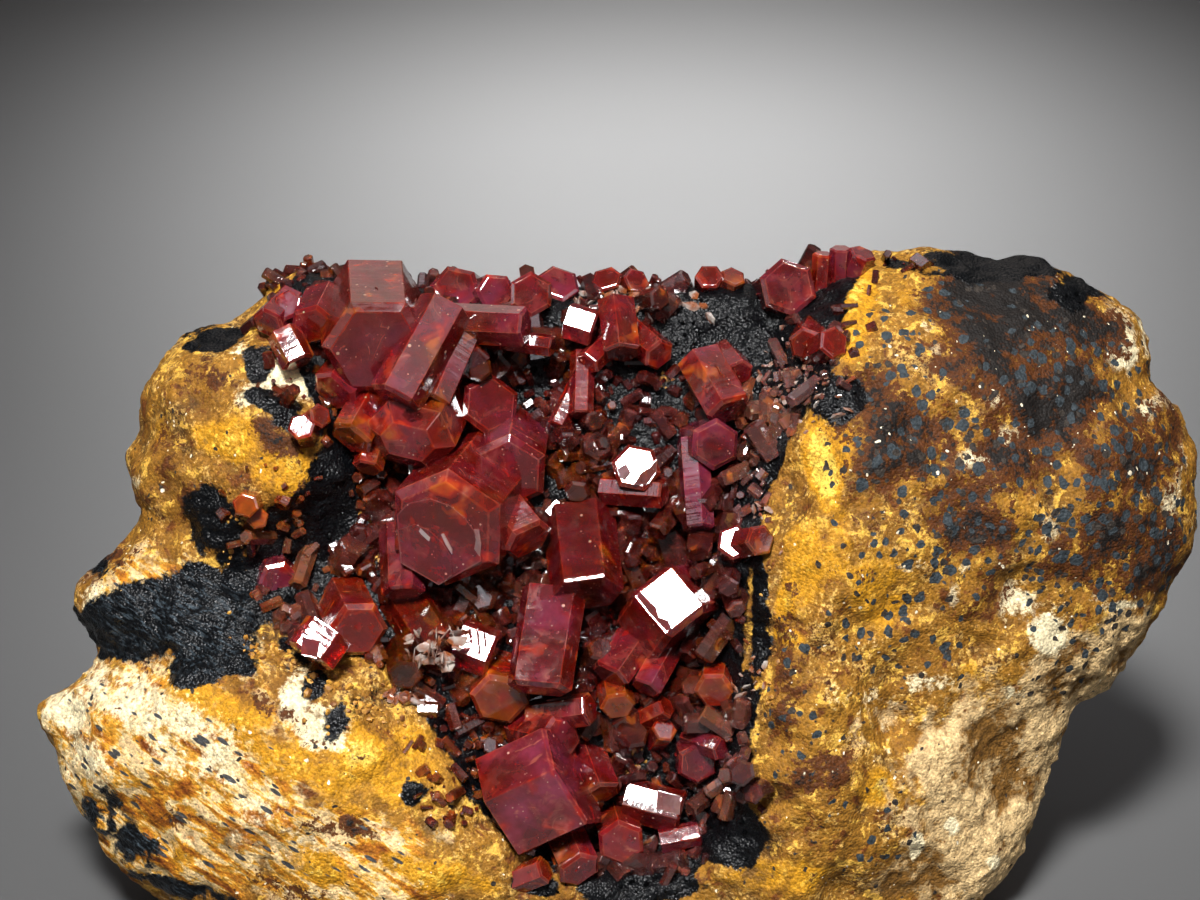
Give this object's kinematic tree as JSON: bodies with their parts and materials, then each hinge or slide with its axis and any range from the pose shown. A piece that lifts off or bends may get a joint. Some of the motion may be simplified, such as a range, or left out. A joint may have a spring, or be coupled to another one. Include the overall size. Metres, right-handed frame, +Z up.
{
  "type": "vanadinite crystals on matrix",
  "caption": "Mineral specimen: a cluster of red hexagonal vanadinite crystals in a black-lined hollow of an ochre limonite rock, standing on a flat trimmed base.",
  "frame": {"origin": "middle of the specimen's bounding box, on the plane of its trimmed base", "axes": "+X to the right along the specimen's length, +Z up, the crystal face looks towards -Y and leans back 20 degrees"},
  "size_m": [0.107, 0.0494, 0.0603],
  "materials": {
    "limonite": "rough broken ochre limonite with dark brown and black stains",
    "vanadinite": "deep red, bright resinous to glassy faces, a little see-through at thin edges",
    "small_vanadinite": "orange-red to brown-red small crystals on a black sparkling crust"
  },
  "bodies": {
    "root": {"matrix_rock": "limonite", "block_crystal_top_left": "vanadinite", "crystals_left_of_block": "vanadinite", "crystal_pair_left_rim": "vanadinite", "flash_crystal_left": "vanadinite", "crystal_under_block": "vanadinite", "crystal_cluster_left_of_tablet": "vanadinite", "long_prism": "vanadinite", "bar_crystal_top": "vanadinite", "bevelled_tablet": "vanadinite", "great_hexagon": "vanadinite", "crystal_behind_great_hexagon": "vanadinite", "crystal_right_of_great_hexagon": "vanadinite", "square_crystal_below_hexagon": "vanadinite", "red_twins_lower_left": "vanadinite", "clear_crystal_lower_left": "vanadinite", "pale_crystal_lower_left": "vanadinite", "kite_crystal_left": "vanadinite", "small_prisms_far_left": "vanadinite", "block_crystal_centre": "vanadinite", "great_flash_crystal": "vanadinite", "post_crystal_centre": "vanadinite", "flash_prism_centre_left": "vanadinite", "great_barrel_bottom": "vanadinite", "bar_crystal_above_barrel": "vanadinite", "hexagon_lower_left": "vanadinite", "crystal_right_of_barrel": "vanadinite", "prism_pair_under_flash": "vanadinite", "orange_crystal_centre": "vanadinite", "small_prism_centre_right": "vanadinite", "rounded_crystal_lower_right": "vanadinite", "prisms_lower_right": "vanadinite", "bright_crystals_bottom_right": "vanadinite", "hexagon_bottom": "vanadinite", "crystal_bottom_edge": "vanadinite", "bar_crystal_bottom_left": "vanadinite", "violet_hexagon_right": "vanadinite", "flash_crystals_upper_centre": "vanadinite", "flash_crystals_right_rim": "vanadinite", "bright_red_prisms_right": "vanadinite", "prism_pair_upper_centre": "vanadinite", "red_cube_upper_centre": "vanadinite", "curved_stack_upper_centre": "vanadinite", "round_crystal_top_right": "vanadinite", "upright_blades_top_right": "vanadinite", "red_cluster_right_rim": "vanadinite", "dark_ridge_crystals": "vanadinite", "ridge_hexagons_top_centre": "vanadinite", "ridge_crystals_top": "vanadinite", "ridge_crystals_top_right": "vanadinite", "deep_crystal_centre": "vanadinite", "clear_crystal_upper_centre": "vanadinite", "druse_bed_ridge": "small_vanadinite", "druse_bed_right_rim": "small_vanadinite", "druse_bed_upper_centre": "small_vanadinite", "druse_bed_centre_right": "small_vanadinite", "druse_bed_left_ledge": "small_vanadinite", "druse_bed_lower_left": "small_vanadinite", "druse_bed_lower_right": "small_vanadinite"}
  },
  "joints": []
}
